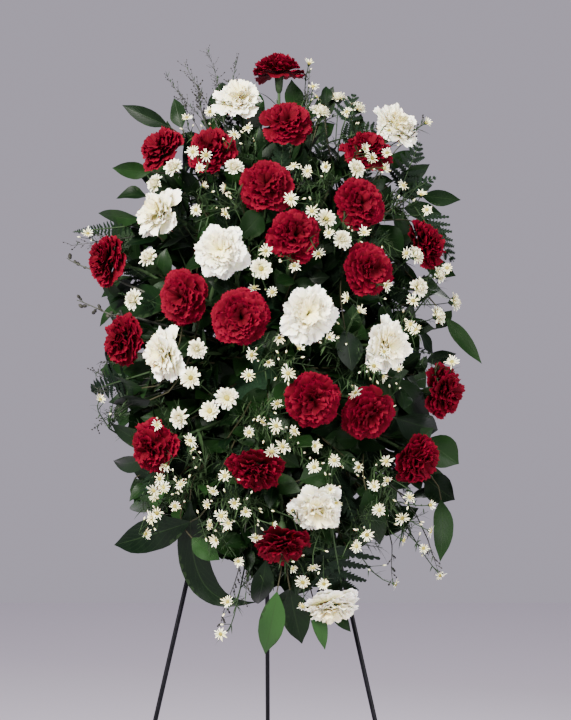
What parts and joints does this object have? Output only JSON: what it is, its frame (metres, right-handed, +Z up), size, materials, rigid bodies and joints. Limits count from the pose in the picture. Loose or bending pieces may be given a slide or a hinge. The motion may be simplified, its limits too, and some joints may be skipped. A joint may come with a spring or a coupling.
{
  "type": "standing funeral spray",
  "caption": "Oval funeral spray of red and white carnations, small white flowers, lemon leaf and fern in floral foam, hung on a folding three-legged wire easel.",
  "frame": {"origin": "on the floor, midway between the two front feet and the rear foot, at the middle of the bounding box", "axes": "+Z up, -Y towards the viewer that the flowers face, +X to that viewer's right"},
  "size_m": [0.6204, 0.7666, 1.6511],
  "materials": {
    "wire": "satin",
    "tray": "matte",
    "foam": "matte",
    "petal_red": "matte",
    "petal_white": "matte",
    "stem": "satin",
    "leaf": "gloss",
    "fern": "satin"
  },
  "bodies": {
    "stand": {"front_leg_left": "wire", "front_leg_right": "wire", "top_hook": "wire", "hinge_cross_wire": "wire", "middle_cross_wire": "wire", "lower_cross_wire": "wire", "foam_tray": "tray", "foam_block": "foam", "red_carnation_01": "petal_red", "red_carnation_02": "petal_red", "red_carnation_03": "petal_red", "red_carnation_04": "petal_red", "red_carnation_05": "petal_red", "red_carnation_06": "petal_red", "red_carnation_07": "petal_red", "red_carnation_08": "petal_red", "red_carnation_09": "petal_red", "red_carnation_10": "petal_red", "red_carnation_11": "petal_red", "red_carnation_12": "petal_red", "red_carnation_13": "petal_red", "red_carnation_14": "petal_red", "red_carnation_15": "petal_red", "red_carnation_16": "petal_red", "red_carnation_17": "petal_red", "red_carnation_18": "petal_red", "red_carnation_19": "petal_red", "red_carnation_20": "petal_red", "red_carnation_21": "petal_red", "white_carnation_01": "petal_white", "white_carnation_02": "petal_white", "white_carnation_03": "petal_white", "white_carnation_04": "petal_white", "white_carnation_05": "petal_white", "white_carnation_06": "petal_white", "white_carnation_07": "petal_white", "white_carnation_08": "petal_white", "white_carnation_09": "petal_white", "mum_spray_upper_left": "petal_white", "mum_spray_lower_left": "petal_white", "mum_spray_top": "petal_white", "mum_spray_right": "petal_white", "aster_spray_upper_left": "petal_white", "aster_spray_upper_right": "petal_white", "aster_spray_lower_right": "petal_white", "aster_spray_lower_left": "petal_white", "carnation_stems_upper_left": "stem", "carnation_stems_upper_right": "stem", "carnation_stems_left": "stem", "carnation_stems_right": "stem", "carnation_stems_lower": "stem", "salal_upper_left": "leaf", "salal_lower_left": "leaf", "salal_bottom": "leaf", "salal_lower_right": "leaf", "salal_upper_right": "leaf", "fern_right": "fern", "fern_left": "fern", "fern_bottom": "fern"},
    "rear_leg": {"rear_leg": "wire"}
  },
  "joints": [
    {"name": "rear_leg_fold", "type": "hinge", "parent": "stand", "child": "rear_leg", "pos_m": [0, -0.06376, 1.21549], "axis": [-1, 0, 0], "range_deg": [0, 29]}
  ]
}
